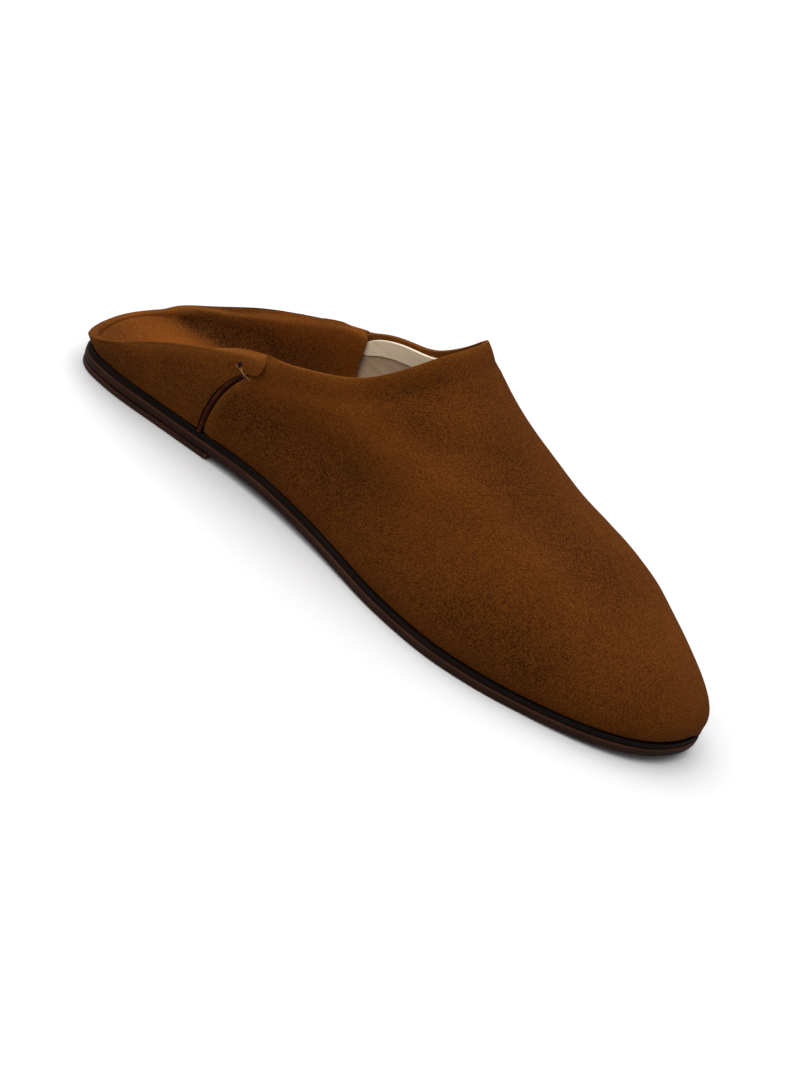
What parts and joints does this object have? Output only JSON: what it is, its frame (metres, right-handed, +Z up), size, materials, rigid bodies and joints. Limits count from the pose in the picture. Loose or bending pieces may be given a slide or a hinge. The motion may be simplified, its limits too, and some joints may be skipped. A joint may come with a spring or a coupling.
{
  "type": "babouche slipper",
  "caption": "Suede babouche slipper with a leather sole, an open throat, and a heel folded down flat inside.",
  "frame": {"origin": "on the ground under the middle of the slipper's bounding box", "axes": "+X towards the toe, +Y towards the inner side of the right foot, +Z up"},
  "size_m": [0.2718, 0.0902, 0.0882],
  "materials": {
    "sole_leather": "dark brown sole leather, edges dyed and burnished",
    "midsole_leather": "dark dyed leather, pale where the cut edge is worn",
    "insole_leather": "cream lining leather, matt",
    "suede": "tobacco brown suede with brushed nap",
    "piping_leather": "reddish brown leather strip, satin"
  },
  "bodies": {
    "root": {"heel_lift": "sole_leather", "outsole": "sole_leather", "midsole": "midsole_leather", "insole": "insole_leather", "vamp": "suede", "heel_quarter": "suede", "piping_lateral": "piping_leather", "piping_medial": "piping_leather"}
  },
  "joints": []
}
